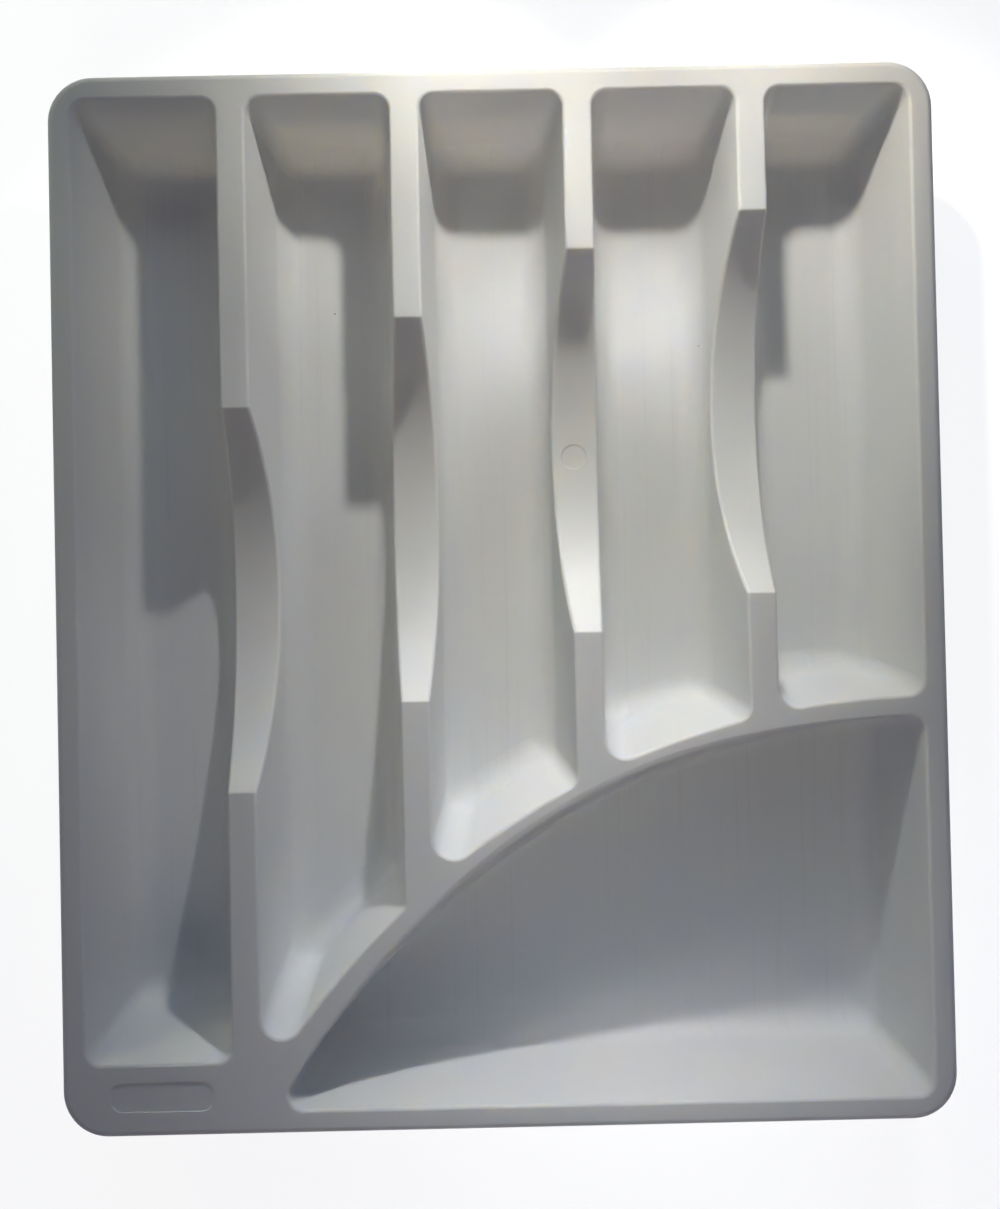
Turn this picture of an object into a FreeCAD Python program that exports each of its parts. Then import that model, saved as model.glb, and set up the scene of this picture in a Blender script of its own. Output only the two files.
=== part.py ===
# A one-piece moulded cutlery tray on four rubber feet, in millimetres.
# +X is right, +Y is to the rear of the drawer and +Z is up. The feet stand on Z = 0, with the tray's
# middle over the origin.
import FreeCAD, Part
import os
import Sketcher

doc = FreeCAD.newDocument("CutleryTray")
sheet = doc.addObject("Spreadsheet::Sheet", "Sizes")

sizes = {
    # the tray as a whole
    "tray_width": 333.0,
    "tray_length": 396.0,
    "outer_corner_radius": 17.0,
    # the wall of the moulding, and the angle by which every pocket wall leans outward
    "wall": 2.0,
    "floor_thickness": 2.0,
    "draft_angle": 7.25,
    # the rim, its rounded edge and the lip that turns down from it
    "rim_width": 9.4,
    "rim_radius": 3.2,
    "lip_depth": 7.2,
    "lip_draft_angle": 1.5,
    # the pockets
    "pocket_depth": 42.0,
    "divider_width": 10.7,
    "corner_radius": 6.0,
    "acute_corner_radius": 8.0,
    "floor_radius": 10.5,
    "edge_radius": 1.2,
    # the deck in front of the long lane
    "long_lane_front": 27.5,
    # the arc that ends the shorter lanes: its crown from the right edge, the crown's share of the tray's
    # length from the rear, and how far from the front edge the arc meets the left side of the second lane
    "lane_arc_inset": 10.5,
    "lane_crown_share": 0.6015,
    "lane_arc_front": 17.55,
    # the arc that bounds the fan pocket: its crown, at the tray's right edge, in front of the lanes' crown,
    # and its tip to the right of the second lane's left side
    "fan_strip": 7.1,
    "fan_tip_step": 4.8,
    # the roll from the deck down into the fan: its radius where it is widest, and that place's share of the
    # tray's width
    "fan_roll_radius": 7.0,
    "fan_roll_share": 0.665,
    # the finger scoops: their depth, and shares of the tray's length for them and their middles from the rear
    "scoop_depth": 30.5,
    "scoop_length_share": 0.3611,
    "first_scoop_share": 0.4987,
    "second_scoop_share": 0.4167,
    "third_scoop_share": 0.3548,
    "fourth_scoop_share": 0.3213,
    # the shallow bare panel on the deck, with its middle from the left and front edges
    "panel_length": 38.0,
    "panel_width": 11.0,
    "panel_radius": 4.5,
    "panel_depth": 0.5,
    "panel_inset": 37.5,
    "panel_front": 15.5,
    # the rubber feet, how far they stand down and in from the pocket ends, and their seats
    "foot_diameter": 14.0,
    "foot_edge_radius": 0.5,
    "foot_stand": 1.0,
    "foot_inset": 29.0,
    "seat_depth": 0.6,
    "seat_clearance": 0.15,
    # how far a cut runs past the face that it opens, and heights nearer than this are the same
    "overrun": 1.0,
    "closeness": 0.001,
}
for row, (name, size) in enumerate(sizes.items(), 1):
    sheet.set(f"A{row}", name)
    sheet.set(f"B{row}", str(size))
    sheet.setAlias(f"B{row}", name)
doc.recompute()

lane_count = 5
scoop_shares = ("first_scoop_share", "second_scoop_share", "third_scoop_share", "fourth_scoop_share")


def arc_through(crown_across, crown_along, across, along):
    """Expressions for the middle and radius of an arc, from its crown and a lower point that it passes."""
    run = f"({crown_across} - {across})"
    drop = f"({crown_along} - {along})"
    radius = f"(({run} ^ 2 + {drop} ^ 2) / 2 / {drop})"
    return crown_across, f"({crown_along} - {radius})", radius


# Places that several pieces share, as expressions on the sheet.
deck_height = "(Sizes.foot_stand + Sizes.floor_thickness + Sizes.pocket_depth)"
lane_width = (f"((Sizes.tray_width - 2 * Sizes.rim_width - {lane_count - 1} * Sizes.divider_width)"
              f" / {lane_count})")
lane_pitch = f"({lane_width} + Sizes.divider_width)"
pockets_right = "(Sizes.tray_width / 2 - Sizes.rim_width)"
pockets_rear = "(Sizes.tray_length / 2 - Sizes.rim_width)"
long_lane_end = "(Sizes.long_lane_front - Sizes.tray_length / 2)"
outer_lane_middle = f"({pockets_right} - {lane_width} / 2)"
wall_across = "(Sizes.wall / cos(Sizes.draft_angle * 1 deg))"
lane_crown = "(Sizes.tray_length / 2 - Sizes.lane_crown_share * Sizes.tray_length)"
lane_arc = arc_through("(Sizes.tray_width / 2 - Sizes.lane_arc_inset)", lane_crown,
                       f"({lane_pitch} - {pockets_right})", "(Sizes.lane_arc_front - Sizes.tray_length / 2)")
fan_arc = arc_through("(Sizes.tray_width / 2)", f"({lane_crown} - Sizes.fan_strip)",
                      f"({lane_pitch} - {pockets_right} + Sizes.fan_tip_step)", f"(-{pockets_rear})")
fan_roll_across = "(Sizes.fan_roll_share * Sizes.tray_width - Sizes.tray_width / 2)"
scoop_length = "(Sizes.scoop_length_share * Sizes.tray_length)"
scoop_radius = f"({scoop_length} ^ 2 / 8 / Sizes.scoop_depth + Sizes.scoop_depth / 2)"
rear_feet = f"({pockets_rear} - Sizes.foot_inset)"
foot_places = {
    "foot_rear_left": (f"(-{outer_lane_middle})", rear_feet),
    "foot_rear_right": (outer_lane_middle, rear_feet),
    "foot_front_left": (f"(-{outer_lane_middle})", f"({long_lane_end} + Sizes.foot_inset)"),
    "foot_front_right": (outer_lane_middle, f"(-{rear_feet})"),
}


def number(expression):
    """The present value of an expression on the sheet."""
    return float(sheet.evalExpression(expression.replace("Sizes.", "")))


def new_sketch(body, role, height):
    """A sketch on one of the body's own origin planes, lifted to a height along its normal."""
    sketch = body.newObject("Sketcher::SketchObject", body.Name + "_outline")
    plane = next(feature for feature in body.Origin.OriginFeatures if feature.Role == role)
    sketch.AttachmentSupport = [(plane, "")]
    sketch.MapMode = "FlatFace"
    sketch.setExpression("AttachmentOffset.Base.z", height)
    return sketch


def hold(sketch, kind, element, point, expression):
    """Hold a point of an element at a distance from the sketch origin."""
    index = sketch.addConstraint(Sketcher.Constraint(kind, -1, 1, element, point, number(expression)))
    sketch.setExpression(f"Constraints[{index}]", expression)


def hold_arc(sketch, element, across, along, radius):
    """Hold the centre and the radius of an arc."""
    hold(sketch, "DistanceX", element, 3, across)
    hold(sketch, "DistanceY", element, 3, along)
    index = sketch.addConstraint(Sketcher.Constraint("Radius", element, number(radius)))
    sketch.setExpression(f"Constraints[{index}]", radius)


def close_outline(sketch, count):
    """Join the end of each element to the start of the next one."""
    for element in range(count):
        sketch.addConstraint(Sketcher.Constraint("Coincident", element, 2, (element + 1) % count, 1))


def add_line(sketch, start, end):
    sketch.addGeometry(Part.LineSegment(FreeCAD.Vector(*start), FreeCAD.Vector(*end)))


def add_arc(sketch, middle, radius, start, end):
    """An arc that runs anticlockwise from start to end."""
    circle = Part.Circle(FreeCAD.Vector(*middle), FreeCAD.Vector(0, 0, 1), radius)
    angles = [circle.parameter(FreeCAD.Vector(*point)) for point in (start, end)]
    sketch.addGeometry(Part.ArcOfCircle(circle, *angles))


def height_on_arc(middle, radius, across):
    """How far along the sketch the upper half of a circle lies, at a place across it."""
    return middle[1] + (radius ** 2 - (across - middle[0]) ** 2) ** 0.5


def four_sided(sketch, left, right, rear, front):
    """A rectangle with its four sides held from the sketch origin."""
    x_left, x_right, y_rear, y_front = (number(side) for side in (left, right, rear, front))
    corners = [(x_left, y_front), (x_left, y_rear), (x_right, y_rear), (x_right, y_front)]
    for index, corner in enumerate(corners):
        add_line(sketch, corner, corners[(index + 1) % 4])
    close_outline(sketch, 4)
    for element in (0, 2):
        sketch.addConstraint(Sketcher.Constraint("Vertical", element))
    for element in (1, 3):
        sketch.addConstraint(Sketcher.Constraint("Horizontal", element))
    hold(sketch, "DistanceX", 0, 1, left)
    hold(sketch, "DistanceX", 2, 1, right)
    hold(sketch, "DistanceY", 1, 1, rear)
    hold(sketch, "DistanceY", 3, 1, front)


def arc_ended_lane(sketch, left, right, rear, arc):
    """A lane with straight sides whose front end follows an arc."""
    x_left, x_right, y_rear = (number(side) for side in (left, right, rear))
    middle = (number(arc[0]), number(arc[1]))
    radius = number(arc[2])
    front_left = (x_left, height_on_arc(middle, radius, x_left))
    front_right = (x_right, height_on_arc(middle, radius, x_right))
    add_line(sketch, front_left, (x_left, y_rear))
    add_line(sketch, (x_left, y_rear), (x_right, y_rear))
    add_line(sketch, (x_right, y_rear), front_right)
    add_arc(sketch, middle, radius, front_right, front_left)
    close_outline(sketch, 4)
    for element in (0, 2):
        sketch.addConstraint(Sketcher.Constraint("Vertical", element))
    sketch.addConstraint(Sketcher.Constraint("Horizontal", 1))
    hold(sketch, "DistanceX", 0, 1, left)
    hold(sketch, "DistanceX", 2, 1, right)
    hold(sketch, "DistanceY", 1, 1, rear)
    hold_arc(sketch, 3, *arc)


def fan(sketch, right, front, arc):
    """The fan: a straight right side and front, and an arc whose halves meet where its roll is widest."""
    x_right, y_front, x_roll = (number(side) for side in (right, front, fan_roll_across))
    middle = (number(arc[0]), number(arc[1]))
    radius = number(arc[2])
    rear_right = (x_right, height_on_arc(middle, radius, x_right))
    roll = (x_roll, height_on_arc(middle, radius, x_roll))
    tip = (middle[0] - (radius ** 2 - (y_front - middle[1]) ** 2) ** 0.5, y_front)
    add_line(sketch, (x_right, y_front), rear_right)
    add_arc(sketch, middle, radius, rear_right, roll)
    add_arc(sketch, middle, radius, roll, tip)
    add_line(sketch, tip, (x_right, y_front))
    close_outline(sketch, 4)
    sketch.addConstraint(Sketcher.Constraint("Vertical", 0))
    sketch.addConstraint(Sketcher.Constraint("Horizontal", 3))
    sketch.addConstraint(Sketcher.Constraint("Coincident", 1, 3, 2, 3))
    hold(sketch, "DistanceX", 0, 1, right)
    hold(sketch, "DistanceX", 2, 1, fan_roll_across)
    hold(sketch, "DistanceY", 3, 1, front)
    hold_arc(sketch, 1, *arc)


def new_pad(body, sketch, length, taper="0", reversed_pad=False):
    """Pad a sketch, leaning its sides outward by the taper."""
    pad = body.newObject("PartDesign::Pad", body.Name + "_pad")
    pad.Profile = sketch
    pad.Reversed = reversed_pad
    pad.setExpression("Length", length)
    pad.setExpression("TaperAngle", taper)
    doc.recompute()
    return pad


def new_body(name):
    return doc.addObject("PartDesign::Body", name)


def edge_names(shape, wanted):
    """The names of the edges for which a test holds."""
    return [f"Edge{index}" for index, edge in enumerate(shape.Edges, 1) if wanted(edge)]


def upright(shape):
    return shape.BoundBox.ZLength > number("Sizes.closeness")


def lies_at(height):
    """A test for edges and faces that lie flat at one height."""
    level = number(height)

    def test(shape):
        return not upright(shape) and abs(shape.BoundBox.ZMin - level) < number("Sizes.closeness")
    return test


def new_fillet(body, base, wanted, radius):
    """Round the edges of a body's last feature for which a test holds."""
    fillet = body.newObject("PartDesign::Fillet", body.Name + "_fillet")
    fillet.Base = (base, edge_names(base.Shape, wanted))
    fillet.setExpression("Radius", radius)
    doc.recompute()
    return fillet


def fillet_each(base, name, radii):
    """Round edges with a radius at each end, in one operation, so that unlike radii can meet at a corner."""
    fillet = doc.addObject("Part::Fillet", name)
    fillet.Base = base
    fillet.Edges = [(index, *ends) for index, ends in radii]
    doc.recompute()
    return fillet


def fuse(name, shapes):
    joined = doc.addObject("Part::MultiFuse", name)
    joined.Shapes = shapes
    joined.Refine = True
    doc.recompute()
    return joined


def cut(name, base, tool):
    result = doc.addObject("Part::Cut", name)
    result.Base = base
    result.Tool = tool
    result.Refine = True
    doc.recompute()
    return result


def rim_form(name, inset, height):
    """The block under the rim, inset from the outside of the tray and up to a height over the lip."""
    body = new_body(name)
    sketch = new_sketch(body, "XY_Plane", f"({deck_height} - Sizes.lip_depth)")
    right = f"(Sizes.tray_width / 2 - {inset})"
    rear = f"(Sizes.tray_length / 2 - {inset})"
    four_sided(sketch, f"(-{right})", right, rear, f"(-{rear})")
    pad = new_pad(body, sketch, height, "-Sizes.lip_draft_angle")
    corners = new_fillet(body, pad, upright, f"(Sizes.outer_corner_radius - {inset})")
    top = f"({deck_height} - Sizes.lip_depth + {height})"
    new_fillet(body, corners, lies_at(top), f"(Sizes.rim_radius - {inset})")
    return body


def draw_pocket(sketch, index, grow):
    """The sharp-cornered mouth of a lane, or of the fan after the last lane, grown all round."""
    right = f"({pockets_right} + {grow})"
    rear = f"({pockets_rear} + {grow})"
    if index == lane_count:
        fan(sketch, right, f"(-{rear})", (*fan_arc[:2], f"({fan_arc[2]} + {grow})"))
        return
    lane_left = f"({index} * {lane_pitch} - {pockets_right} - {grow})"
    lane_right = f"({lane_left} + {lane_width} + 2 * {grow})"
    if index == 0:
        four_sided(sketch, lane_left, lane_right, rear, f"({long_lane_end} - {grow})")
    else:
        arc_ended_lane(sketch, lane_left, lane_right, rear, (*lane_arc[:2], f"({lane_arc[2]} - {grow})"))


def corner_radius(corner, corners, index):
    """The radius of a pocket's upright corner, by its top: rounder at a lane's acute front corner, and none
    where the halves of the fan's arc meet."""
    if index == lane_count:
        smooth = min(corners, key=lambda other: abs(other.X - number(fan_roll_across)))
        return None if corner.isSame(smooth) else "Sizes.corner_radius"
    foremost = min(corners, key=lambda other: other.Y)
    return "Sizes.acute_corner_radius" if index > 0 and corner.isSame(foremost) else "Sizes.corner_radius"


def pocket_form(name, index, grow, depth, extra_radius):
    """The drafted form of a pocket: round upright corners, and a wide sweep from walls to floor."""
    body = new_body(name)
    sketch = new_sketch(body, "XY_Plane", deck_height)
    draw_pocket(sketch, index, grow)
    new_pad(body, sketch, depth, "-Sizes.draft_angle", True)
    tops = {edge_index: max(edge.Vertexes, key=lambda vertex: vertex.Z)
            for edge_index, edge in enumerate(body.Shape.Edges, 1) if upright(edge)}
    on_floor = lies_at(f"({deck_height} - {depth})")
    radii = []
    for edge_index, edge in enumerate(body.Shape.Edges, 1):
        radius = "Sizes.floor_radius" if on_floor(edge) else None
        if edge_index in tops:
            radius = corner_radius(tops[edge_index], tops.values(), index)
        if radius:
            radii.append((edge_index, [number(f"{radius} + {extra_radius}")] * 2))
    return fillet_each(body, name + "_rounded", radii)


def scoop_form(name, index, grow):
    """A slice of a lying cylinder under the deck, across one divider."""
    body = new_body(name)
    divider_middle = f"({index + 1} * {lane_pitch} - Sizes.divider_width / 2 - {pockets_right})"
    sketch = new_sketch(body, "YZ_Plane", divider_middle)
    along = f"(Sizes.tray_length / 2 - Sizes.{scoop_shares[index]} * Sizes.tray_length)"
    height = f"({deck_height} + {scoop_radius} - Sizes.scoop_depth)"
    radius = f"({scoop_radius} + {grow})"
    middle = (number(along), number(height))
    deck = number(deck_height)
    half_chord = (number(radius) ** 2 - (middle[1] - deck) ** 2) ** 0.5
    front = (middle[0] - half_chord, deck)
    rear = (middle[0] + half_chord, deck)
    add_arc(sketch, middle, number(radius), front, rear)
    add_line(sketch, rear, front)
    close_outline(sketch, 2)
    sketch.addConstraint(Sketcher.Constraint("Horizontal", 1))
    hold_arc(sketch, 0, along, height, radius)
    hold(sketch, "DistanceY", 1, 1, deck_height)
    pad = new_pad(body, sketch, lane_pitch)
    pad.SideType = "Symmetric"
    doc.recompute()
    return body


def panel_form():
    """The round-cornered bare panel, from its floor up past the deck."""
    body = new_body("panel")
    sketch = new_sketch(body, "XY_Plane", f"({deck_height} - Sizes.panel_depth)")
    middle_across = "(Sizes.panel_inset - Sizes.tray_width / 2)"
    middle_along = "(Sizes.panel_front - Sizes.tray_length / 2)"
    left = f"({middle_across} - Sizes.panel_length / 2)"
    right = f"({middle_across} + Sizes.panel_length / 2)"
    rear = f"({middle_along} + Sizes.panel_width / 2)"
    front = f"({middle_along} - Sizes.panel_width / 2)"
    four_sided(sketch, left, right, rear, front)
    pad = new_pad(body, sketch, "Sizes.panel_depth + Sizes.overrun")
    new_fillet(body, pad, upright, "Sizes.panel_radius")
    return body


def seat_form(name, across, along):
    """The round hollow under a pocket floor that a foot is stuck into."""
    seat = doc.addObject("Part::Cylinder", name + "_seat")
    seat.setExpression("Radius", "Sizes.foot_diameter / 2 + Sizes.seat_clearance")
    seat.setExpression("Height", "Sizes.seat_depth + Sizes.overrun")
    seat.setExpression("Placement.Base.x", across)
    seat.setExpression("Placement.Base.y", along)
    seat.setExpression("Placement.Base.z", "Sizes.foot_stand - Sizes.overrun")
    return seat


def foot(name, across, along):
    """A round rubber pad with a softened lower edge."""
    body = new_body(name)
    sketch = new_sketch(body, "XY_Plane", "0")
    radius = number("Sizes.foot_diameter / 2")
    sketch.addGeometry(Part.Circle(FreeCAD.Vector(0, 0), FreeCAD.Vector(0, 0, 1), radius))
    sketch.addConstraint(Sketcher.Constraint("Coincident", 0, 3, -1, 1))
    index = sketch.addConstraint(Sketcher.Constraint("Radius", 0, radius))
    sketch.setExpression(f"Constraints[{index}]", "Sizes.foot_diameter / 2")
    pad = new_pad(body, sketch, "Sizes.foot_stand + Sizes.seat_depth")
    new_fillet(body, pad, lies_at("0"), "Sizes.foot_edge_radius")
    body.setExpression("Placement.Base.x", across)
    body.setExpression("Placement.Base.y", along)
    return body


def mouths_at(shape, height):
    """The outlines of the pockets on the widest face at a height, with the fan's outline first."""
    level = lies_at(height)
    deck = max((face for face in shape.Faces if level(face)), key=lambda face: face.Area)
    mouths = [wire for wire in deck.Wires if not wire.isSame(deck.OuterWire)]
    return sorted(mouths, key=lambda wire: wire.BoundBox.YMax)


def rolled_radii(shape, mouth, radius):
    """The edges of the fan's outline, with the soft edge's radius or, where the roll is widest, another."""
    x_roll = number(fan_roll_across)
    widest = min(mouth.Vertexes, key=lambda vertex: abs(vertex.X - x_roll))
    radii = []
    for index, edge in enumerate(shape.Edges, 1):
        if any(edge.isSame(other) for other in mouth.Edges):
            ends = [radius if vertex.isSame(widest) else "Sizes.edge_radius" for vertex in edge.Vertexes]
            radii.append((index, [number(end) for end in ends]))
    return radii


def soft_edges(shape):
    """Each edge around the pocket mouths and along the scoops, with the radii that soften it."""
    fan_mouth, *lane_mouths = mouths_at(shape, deck_height)
    scoops = [face for face in shape.Faces if isinstance(face.Surface, Part.Cylinder)
              and abs(face.Surface.Radius - number(scoop_radius)) < number("Sizes.closeness")]
    plain = [edge for outline in lane_mouths + scoops for edge in outline.Edges]
    radii = rolled_radii(shape, fan_mouth, "Sizes.fan_roll_radius")
    for index, edge in enumerate(shape.Edges, 1):
        if any(edge.isSame(other) for other in plain):
            radii.append((index, [number("Sizes.edge_radius")] * 2))
    return radii


def tray_moulding():
    """The tray: rim, tubs and scoop saddles joined, then hollowed and scooped, and its edges softened."""
    outside = rim_form("rim_outside", "0", "Sizes.lip_depth")
    inside = rim_form("rim_inside", "Sizes.wall", "(Sizes.lip_depth - Sizes.wall)")
    solids = [cut("rim", outside, inside)]
    hollows = []
    tub_depth = "(Sizes.pocket_depth + Sizes.floor_thickness)"
    for index in range(lane_count + 1):
        solids.append(pocket_form(f"tub_{index}", index, wall_across, tub_depth, "Sizes.wall"))
        hollows.append(pocket_form(f"cavity_{index}", index, "0", "Sizes.pocket_depth", "0"))
    for index in range(lane_count - 1):
        solids.append(scoop_form(f"saddle_{index}", index, "Sizes.wall"))
        hollows.append(scoop_form(f"scoop_{index}", index, "0"))
    shell = fuse("shell", solids)
    underside = mouths_at(shell.Shape, f"({deck_height} - Sizes.wall)")[0]
    under_roll = rolled_radii(shell.Shape, underside, "Sizes.fan_roll_radius - Sizes.wall")
    rolled_shell = fillet_each(shell, "rolled_shell", under_roll)
    open_tray = cut("open_tray", rolled_shell, fuse("hollows", hollows))
    soft_tray = fillet_each(open_tray, "soft_tray", soft_edges(open_tray.Shape))
    recesses = [panel_form()]
    for name, place in foot_places.items():
        recesses.append(seat_form(name, *place))
    return cut("tray", soft_tray, fuse("recesses", recesses))


subparts = {"tray_moulding": tray_moulding()}
for foot_name, foot_place in foot_places.items():
    subparts[foot_name] = foot(foot_name, *foot_place)
doc.recompute()

for label, piece in subparts.items():
    piece.Label = label
for item in doc.Objects:
    if "Invalid" in item.State or "Error" in item.State:
        raise RuntimeError(f"{item.Name} failed: {item.State}")
for label, piece in subparts.items():
    if piece.Shape.isNull() or not piece.Shape.isValid() or len(piece.Shape.Solids) != 1:
        raise RuntimeError(f"{label} isn't one valid solid")

os.makedirs("parts", exist_ok=True)
for label, piece in subparts.items():
    piece.Shape.exportStep(f"parts/{label}.step")
    box = piece.Shape.optimalBoundingBox(False)
    lengths = " x ".join(f"{length:.1f}" for length in (box.XLength, box.YLength, box.ZLength))
    print(f"{label}: {lengths} mm, {piece.Shape.Volume:.0f} mm3")
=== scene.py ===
import bpy
import math
import numpy as np
from mathutils import Matrix, Vector

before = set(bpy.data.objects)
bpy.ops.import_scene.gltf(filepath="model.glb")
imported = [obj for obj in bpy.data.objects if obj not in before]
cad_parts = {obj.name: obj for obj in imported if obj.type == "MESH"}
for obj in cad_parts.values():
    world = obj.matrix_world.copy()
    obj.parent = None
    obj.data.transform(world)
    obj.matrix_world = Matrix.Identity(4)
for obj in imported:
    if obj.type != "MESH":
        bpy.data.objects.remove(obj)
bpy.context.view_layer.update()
scene = bpy.context.scene
scene.view_settings.view_transform = "Standard"
print("frame loaded:", ", ".join(sorted(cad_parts)))


cameraSettings = {
    "place": (-0.011383, 0.015580, 0.374080),     # metres, about a third of a metre above the deck
    "turns": (-0.010004, 0.002285, 0.021186),     # radians, small tilts about X, Y and Z from straight down
    "image": (1000, 1209),
    "focal": 884.695,                             # in pixels of that image
    "centre": (470.832, 545.553),                 # where the lens axis meets the image
    "nearest": 0.01,
}


def addCamera(s):
    wide, high = s["image"]
    lens = bpy.data.cameras.new("trayCamera")
    camera = bpy.data.objects.new("trayCamera", lens)
    scene.collection.objects.link(camera)
    aboutX, aboutY, aboutZ = s["turns"]
    turn = Matrix.Rotation(aboutZ, 3, "Z") @ Matrix.Rotation(aboutY, 3, "Y") @ Matrix.Rotation(aboutX, 3, "X")
    camera.matrix_world = Matrix.Translation(s["place"]) @ turn.transposed().to_4x4()
    lens.lens = s["focal"] / high * lens.sensor_width
    lens.shift_x = (wide / 2 - s["centre"][0]) / high
    lens.shift_y = (s["centre"][1] - high / 2) / high
    lens.clip_start = s["nearest"]
    scene.camera = camera


addCamera(cameraSettings)
print("camera set")


# the main lamp stands behind the tray and a hand above it, where the lane shadows point;
# its light is divided into beams, so that each part of the tray gets its own share
beamSettings = {
    "place": (0.0375, 0.3064, 0.1690),
    "disc": 0.014,
    "beams": {
        # name: aim, spread in degrees, watts of red, green and blue
        "rearLeftBeam": ((-0.04, 0.16, 0.03), 60, (0.0446, 0.0424, 0.0370)),
        "rearRightBeam": ((0.12, 0.16, 0.03), 60, (0.0338, 0.0309, 0.0258)),
        "rearCornerBeam": ((0.16, 0.19, 0.045), 34, (0.0050, 0.0046, 0.0037)),
        "middleBeam": ((0.03, 0.05, 0.03), 45, (0.0190, 0.0180, 0.0149)),
        "thirdLaneBeam": ((0.005, 0.108, 0.003), 13, (0.0012, 0.0012, 0.0013)),
        "fourthLaneBeam": ((0.068, 0.110, 0.003), 13, (0.0016, 0.0016, 0.0016)),
        "rightBeam": ((0.12, 0.05, 0.03), 45, (0.0167, 0.0172, 0.0158)),
        "leftBeam": ((-0.08, -0.12, 0.03), 40, (0.0201, 0.0198, 0.0199)),
        "farBeam": ((0.03, -0.40, 0.03), 40, (0.0338, 0.0340, 0.0344)),
    },
}
middle = (0.0, 0.0, 0.0)    # the tray's middle, on the drawer floor
openSpread = 180            # degrees, a lamp without a hood
lampSettings = {
    # name: place, aim, disc size, spread in degrees, watts of red, green and blue
    "lowRear": ((-0.35, 0.7, 0.15), (0.0, 0.0, 0.03), 0.05, openSpread, (0.4200, 0.3830, 0.3090)),
    "frontWallSpot": ((0.1, 1.0, 0.5), (0.08, -0.19, 0.02), 0.1, 15, (0.0156, 0.0136, 0.0132)),
    "rearWallSpot": ((0.05, -1.0, 0.5), (0.043, 0.185, 0.03), 0.1, 8, (0.0028, 0.0023, 0.0023)),
    "fanSpot": ((0.0, 0.0, 0.9), (0.06, -0.17, 0.0), 0.2, 18, (0.0128, 0.0136, 0.0134)),
    "middleSpot": ((0.0, 0.0, 0.9), (0.02, 0.02, 0.0), 0.3, 25, (0.0150, 0.0120, 0.0035)),
    "frontFill": ((0.0, -1.0, 0.7), middle, 0.7, openSpread, (1.4300, 1.3150, 1.0500)),
    "rearFill": ((0.0, 1.0, 0.7), middle, 0.7, openSpread, (0.4030, 0.7000, 0.8350)),
    "rearLeftFill": ((-0.7, 0.7, 0.5), middle, 0.7, openSpread, (0.7600, 0.6200, 0.1920)),
    "leftFill": ((-0.6, 0.25, 0.2), middle, 0.1, openSpread, (0.0642, 0.1117, 0.0979)),
    "rightFill": ((0.6, 0.1, 0.2), middle, 0.1, openSpread, (0.0650, 0.0760, 0.0620)),
}


def addLamp(name, place, aim, size, spread, watts):
    light = bpy.data.lights.new(name, "AREA")
    light.shape = "DISK"
    light.size = size
    light.spread = math.radians(spread)
    light.energy = max(watts)
    light.color = [share / max(watts) for share in watts]
    lamp = bpy.data.objects.new(name, light)
    scene.collection.objects.link(lamp)
    lamp.location = place
    lamp.rotation_euler = (Vector(aim) - Vector(place)).to_track_quat("-Z", "Y").to_euler()
    lamp.visible_camera = False


for beamName, (beamAim, beamSpread, beamWatts) in beamSettings["beams"].items():
    addLamp(beamName, beamSettings["place"], beamAim, beamSettings["disc"], beamSpread, beamWatts)
for lampName, lampValues in lampSettings.items():
    addLamp(lampName, *lampValues)
print("lamps:", len(beamSettings["beams"]) + len(lampSettings))


def addNode(tree, kind, values=None, links=None, **options):
    made = tree.nodes.new(kind)
    for option, choice in options.items():
        setattr(made, option, choice)
    for socket, value in (values or {}).items():
        made.inputs[socket].default_value = value
    for socket, source in (links or {}).items():
        tree.links.new(source, made.inputs[socket])
    return made


def feed(tree, socket, given):
    # a plain value goes on the socket, anything else is linked to it
    if isinstance(given, (int, float, tuple)):
        socket.default_value = given
    else:
        tree.links.new(given, socket)


def newMaterial(name):
    material = bpy.data.materials.new(name)
    material.use_nodes = True
    tree = material.node_tree
    return material, tree, tree.nodes["Principled BSDF"]


def doMath(tree, operation, *terms, clamp=False):
    made = addNode(tree, "ShaderNodeMath", operation=operation, use_clamp=clamp)
    for index, term in enumerate(terms):
        feed(tree, made.inputs[index], term)
    return made.outputs[0]


def times(tree, first, second):
    return doMath(tree, "MULTIPLY", first, second)


def fade(tree, source, low, high, atLow=0.0, atHigh=1.0):
    # smooth step: atLow below low, atHigh above high
    limits = {"From Min": low, "From Max": high, "To Min": atLow, "To Max": atHigh}
    made = addNode(tree, "ShaderNodeMapRange", limits, {"Value": source}, interpolation_type="SMOOTHSTEP")
    return made.outputs["Result"]


def noiseOn(tree, coords, scale, detail, stretch=(1, 1, 1), turn=(0, 0, 0), roughness=0.6):
    # noise on stretched and turned coordinates; a large stretch gives fine grain in that direction
    placed = addNode(tree, "ShaderNodeMapping", {"Scale": stretch, "Rotation": turn}, {"Vector": coords})
    made = addNode(tree, "ShaderNodeTexNoise", {"Scale": scale, "Detail": detail, "Roughness": roughness},
                   {"Vector": placed.outputs["Vector"]})
    return made.outputs["Fac"]


def bumpOn(tree, height, depth, below=None):
    # depth: distance in metres and strength; below: the normal that this relief lies on
    distance, strength = depth
    links = {"Height": height}
    if below is not None:
        links["Normal"] = below
    made = addNode(tree, "ShaderNodeBump", {"Distance": distance, "Strength": strength}, links)
    return made.outputs["Normal"]


def mixColour(tree, amount, first, second):
    made = addNode(tree, "ShaderNodeMix", data_type="RGBA")
    for socket, given in ((0, amount), (6, first), (7, second)):    # 6 and 7 are the node's colours
        feed(tree, made.inputs[socket], given)
    return made.outputs[2]


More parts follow.
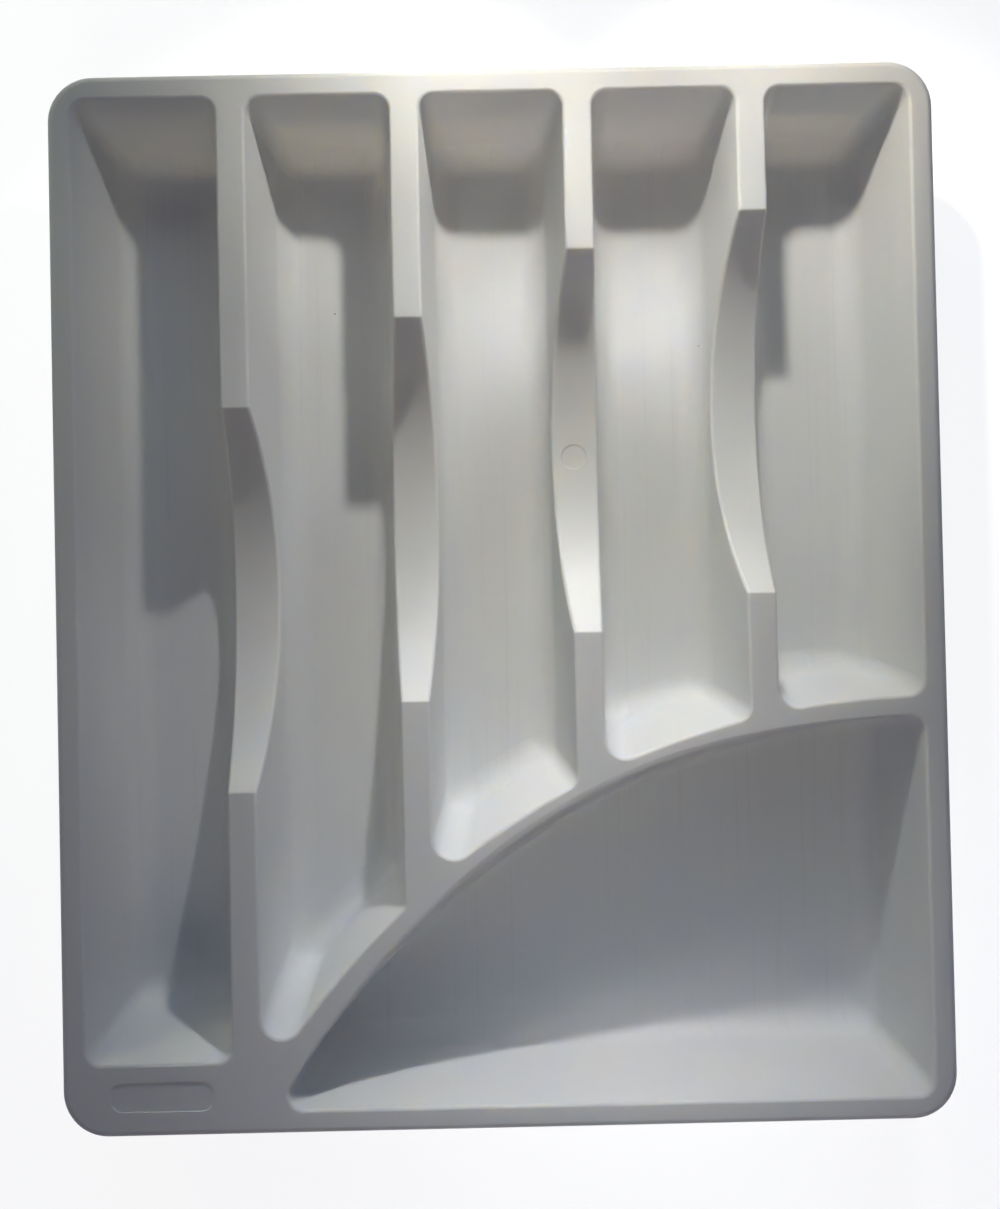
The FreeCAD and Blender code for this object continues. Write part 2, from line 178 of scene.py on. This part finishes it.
def discMask(tree, coords, centre, diameter, edge):
    # 1 inside a circle about an upright line, 0 outside, with a soft edge
    level = addNode(tree, "ShaderNodeVectorMath", {1: (1.0, 1.0, 0.0)}, {0: coords}, operation="MULTIPLY")
    far = addNode(tree, "ShaderNodeVectorMath", {1: (*centre, 0.0)}, {0: level.outputs["Vector"]},
                  operation="DISTANCE")
    return fade(tree, far.outputs["Value"], diameter / 2 - edge, diameter / 2 + edge, 1.0, 0.0)


floorSettings = {
    "side": 8.0,
    "colour": (0.86, 0.86, 0.86, 1.0),
    "roughness": 0.9,
    "white": (1.0, 1.0, 1.0, 1.0),
    "lift": (0.82, 1.0),            # share of white near the tray, where its shadow shows, and far from it
    "liftFade": (0.35, 1.1),        # metres from the middle
}
worldSettings = {"light": (0.0, 0.004, 0.048, 1.0), "backdrop": (1.0, 1.0, 1.0, 1.0)}


def addFloor(s):
    # flat square: x and y run from -side/2 to side/2 on a 2 by 2 grid, z = 0
    across, along = np.meshgrid([-0.5, 0.5], [-0.5, 0.5])
    corners = np.stack([across, along, np.zeros((2, 2))], -1).reshape(-1, 3) * s["side"]
    mesh = bpy.data.meshes.new("drawerFloor")
    mesh.from_pydata(corners.tolist(), [], [(0, 1, 3, 2)])
    floor = bpy.data.objects.new("drawerFloor", mesh)
    scene.collection.objects.link(floor)
    material, tree, shader = newMaterial("paleFloor")
    shader.inputs["Base Color"].default_value = s["colour"]
    shader.inputs["Roughness"].default_value = s["roughness"]
    # white for the eye and for reflections, over which the shadow still shows
    rays = addNode(tree, "ShaderNodeLightPath")
    seen = doMath(tree, "MAXIMUM", rays.outputs["Is Camera Ray"], rays.outputs["Is Glossy Ray"])
    seen = doMath(tree, "MAXIMUM", seen, rays.outputs["Is Transmission Ray"])
    shader.inputs["Emission Color"].default_value = s["white"]
    coords = addNode(tree, "ShaderNodeTexCoord").outputs["Object"]
    far = addNode(tree, "ShaderNodeVectorMath", None, {0: coords}, operation="LENGTH")
    lift = fade(tree, far.outputs["Value"], *s["liftFade"], *s["lift"])
    tree.links.new(times(tree, seen, lift), shader.inputs["Emission Strength"])
    mesh.materials.append(material)


def addWorld(s):
    world = bpy.data.worlds.new("studio")
    scene.world = world
    world.use_nodes = True
    tree = world.node_tree
    fill = tree.nodes["Background"]
    fill.inputs["Color"].default_value = s["light"]
    fill.inputs["Strength"].default_value = 1.0
    white = addNode(tree, "ShaderNodeBackground", {"Color": s["backdrop"], "Strength": 1.0})
    rays = addNode(tree, "ShaderNodeLightPath")
    mixed = addNode(tree, "ShaderNodeMixShader", None, {
        0: rays.outputs["Is Camera Ray"], 1: fill.outputs["Background"], 2: white.outputs["Background"]})
    tree.links.new(mixed.outputs["Shader"], tree.nodes["World Output"].inputs["Surface"])


addFloor(floorSettings)
addWorld(worldSettings)
print("floor and world set")


# satin white moulding; heights and places in metres, bumps as distance and strength
traySettings = {
    "white": (0.864, 0.872, 0.878, 1.0),
    "shade": (0.842, 0.850, 0.857, 1.0),        # slow drift of the white across the moulding
    "driftScale": 9.0,
    "driftRange": (0.38, 0.66),
    "scuff": (0.765, 0.770, 0.772, 1.0),        # dull lines that cutlery leaves along the lanes
    "scuffStretch": (420.0, 7.0, 60.0),
    "scuffRange": (0.56, 0.74),
    "scuffHeights": (0.004, 0.012),             # full on the pocket floors, gone above
    "scuffShare": 0.30,
    "scuffDull": 0.16,
    "scuffBump": (0.00010, 0.10),
    "speck": (0.16, 0.14, 0.12, 1.0),
    "speckScale": 46.0,
    "speckChance": (0.86, 1.0),                 # only the cells in this range hold a speck
    "speckSize": 0.022,
    "speckShare": 0.55,
    "gloss": (0.42, 0.54),                      # roughness at both ends of the drift
    "glossRange": (0.30, 0.72),
    "wipeStretch": (900.0, 24.0, 24.0),         # wiped hairs across the deck
    "wipeTurn": (0.0, 0.0, 0.9),
    "wipeRange": (0.60, 0.72),
    "wipeHeights": (0.0438, 0.0448),            # the deck and no lower
    "wipeDull": 0.14,
    "grainScale": 1600.0,                       # sparks of the mould steel, per metre
    "grainBump": (0.00002, 0.35),
    "sinkScale": 26.0,                          # slow sink of the thin walls
    "sinkBump": (0.0006, 0.12),
    "pinPlace": (0.0321, 0.0543),               # ejector pin mark on the third scoop
    "pinDiameter": 0.0100,
    "pinHeights": (0.009, 0.021),
    "pinFade": 0.001,
    "pinEdge": 0.0004,
    "pinDepth": 3.0,                            # times the depth of the marks underneath
    "gatePlace": (0.0, 0.021),                  # where the plastic was let in, under the middle lane
    "gateDiameter": 0.0042,
    "gateDepth": 2.0,
    "underPinPitch": (0.06498, 0.086),
    "underPinDiameter": 0.0080,
    "underEdge": 0.0002,
    "underHeights": (0.0014, 0.0022),           # the lower faces of the pocket floors
    "markBump": (0.00016, 0.8),
    "soak": 0.55,                               # a little light soaks through the thin walls
    "soakRadius": (1.0, 0.85, 0.60),
    "soakScale": 0.0060,
    "ior": 1.49,
    "specular": 0.4,
}


def trayColour(tree, s, coords, drift, scuffed):
    # slow drift, lane scuffs, a few specks
    colour = mixColour(tree, fade(tree, drift, *s["driftRange"]), s["white"], s["shade"])
    colour = mixColour(tree, times(tree, scuffed, s["scuffShare"]), colour, s["scuff"])
    cells = addNode(tree, "ShaderNodeTexVoronoi", {"Scale": s["speckScale"], "Randomness": 1.0},
                    {"Vector": coords})
    chosen = addNode(tree, "ShaderNodeSeparateColor", None, {"Color": cells.outputs["Color"]})
    speckSize = fade(tree, chosen.outputs["Red"], *s["speckChance"], 0.0, s["speckSize"])
    speck = doMath(tree, "LESS_THAN", cells.outputs["Distance"], speckSize)
    return mixColour(tree, times(tree, speck, s["speckShare"]), colour, s["speck"])


def trayGloss(tree, s, coords, height, drift, scuffed):
    # satin, duller in the scuffs and where hands wipe the deck
    gloss = fade(tree, drift, *s["glossRange"], *s["gloss"])
    gloss = doMath(tree, "MULTIPLY_ADD", scuffed, s["scuffDull"], gloss)
    hairs = noiseOn(tree, coords, 1.0, 0.0, s["wipeStretch"], s["wipeTurn"])
    wiped = times(tree, fade(tree, hairs, *s["wipeRange"]), fade(tree, height, *s["wipeHeights"]))
    return doMath(tree, "MULTIPLY_ADD", wiped, s["wipeDull"], gloss, clamp=True)


def pinMark(tree, s, coords, height):
    # a disc on the scoop, and nothing above or below it
    low, high = s["pinHeights"]
    disc = discMask(tree, coords, s["pinPlace"], s["pinDiameter"], s["pinEdge"])
    onScoop = times(tree, fade(tree, height, low, low + s["pinFade"]),
                    fade(tree, height, high - s["pinFade"], high, 1.0, 0.0))
    return times(tree, times(tree, disc, onScoop), s["pinDepth"])


def underMarks(tree, s, coords, split):
    # rows of pin marks under the floors, and the gate, which stands out where the pins go in
    pitchX, pitchY = s["underPinPitch"]
    wrapX = doMath(tree, "WRAP", split.outputs["X"], pitchX / 2, -pitchX / 2)
    wrapY = doMath(tree, "WRAP", split.outputs["Y"], pitchY / 2, -pitchY / 2)
    wrapped = addNode(tree, "ShaderNodeCombineXYZ", None, {"X": wrapX, "Y": wrapY})
    rows = discMask(tree, wrapped.outputs["Vector"], (0.0, 0.0), s["underPinDiameter"], s["underEdge"])
    gate = discMask(tree, coords, s["gatePlace"], s["gateDiameter"], s["underEdge"])
    marks = doMath(tree, "SUBTRACT", rows, times(tree, gate, s["gateDepth"]))
    return times(tree, marks, fade(tree, split.outputs["Z"], *s["underHeights"], 1.0, 0.0))


def trayRelief(tree, s, coords, split, lines):
    # fine mould grain, slow sink, scuffs, then the pin and gate marks
    normal = bumpOn(tree, noiseOn(tree, coords, s["grainScale"], 0.0), s["grainBump"])
    normal = bumpOn(tree, noiseOn(tree, coords, s["sinkScale"], 0.0), s["sinkBump"], normal)
    normal = bumpOn(tree, lines, s["scuffBump"], normal)
    onScoop = pinMark(tree, s, coords, split.outputs["Z"])
    marks = doMath(tree, "ADD", onScoop, underMarks(tree, s, coords, split))
    return bumpOn(tree, times(tree, marks, -1.0), s["markBump"], normal)


def trayPlastic(s):
    material, tree, shader = newMaterial("trayPlastic")
    coords = addNode(tree, "ShaderNodeTexCoord").outputs["Object"]
    split = addNode(tree, "ShaderNodeSeparateXYZ", None, {"Vector": coords})
    height = split.outputs["Z"]
    drift = noiseOn(tree, coords, s["driftScale"], 1.0)
    lines = noiseOn(tree, coords, 1.0, 2.0, s["scuffStretch"])
    onFloor = fade(tree, height, *s["scuffHeights"], 1.0, 0.0)
    scuffed = times(tree, fade(tree, lines, *s["scuffRange"]), onFloor)
    tree.links.new(trayColour(tree, s, coords, drift, scuffed), shader.inputs["Base Color"])
    tree.links.new(trayGloss(tree, s, coords, height, drift, scuffed), shader.inputs["Roughness"])
    tree.links.new(trayRelief(tree, s, coords, split, lines), shader.inputs["Normal"])
    shader.inputs["Subsurface Weight"].default_value = s["soak"]
    shader.inputs["Subsurface Radius"].default_value = s["soakRadius"]
    shader.inputs["Subsurface Scale"].default_value = s["soakScale"]
    shader.inputs["IOR"].default_value = s["ior"]
    shader.inputs["Specular IOR Level"].default_value = s["specular"]
    return material


# matt grey rubber, dusty on the face that stands on the drawer
footSettings = {
    "grey": (0.135, 0.138, 0.142, 1.0),
    "worn": (0.235, 0.235, 0.235, 1.0),
    "mottleScale": 420.0,
    "mottleRange": (0.42, 0.66),
    "mottleBump": (0.00010, 0.3),
    "gritScale": 2600.0,
    "gritBump": (0.00006, 0.5),
    "treadHeights": (0.0, 0.0006),
    "dust": (0.25, 0.6),                        # share all over, and how much more on the tread
    "gloss": (0.66, 0.86),                      # roughness at both ends of the mottle
    "glossRange": (0.3, 0.7),
}


def footRubber(s):
    material, tree, shader = newMaterial("footRubber")
    coords = addNode(tree, "ShaderNodeTexCoord").outputs["Object"]
    height = addNode(tree, "ShaderNodeSeparateXYZ", None, {"Vector": coords}).outputs["Z"]
    mottle = noiseOn(tree, coords, s["mottleScale"], 4.0)
    grit = noiseOn(tree, coords, s["gritScale"], 2.0)
    tread = fade(tree, height, *s["treadHeights"], 1.0, 0.0)
    allOver, onTread = s["dust"]
    dustShare = doMath(tree, "MULTIPLY_ADD", tread, onTread, allOver)
    dusty = times(tree, fade(tree, mottle, *s["mottleRange"]), dustShare)
    tree.links.new(mixColour(tree, dusty, s["grey"], s["worn"]), shader.inputs["Base Color"])
    tree.links.new(fade(tree, mottle, *s["glossRange"], *s["gloss"]), shader.inputs["Roughness"])
    normal = bumpOn(tree, grit, s["gritBump"])
    tree.links.new(bumpOn(tree, mottle, s["mottleBump"], normal), shader.inputs["Normal"])
    return material


trayFinish = trayPlastic(traySettings)
rubberFinish = footRubber(footSettings)
for nodeName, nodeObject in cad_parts.items():
    for slot in nodeObject.material_slots:
        slot.material = trayFinish if nodeName == "tray_moulding" else rubberFinish
print("finishes given to", len(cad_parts), "pieces")
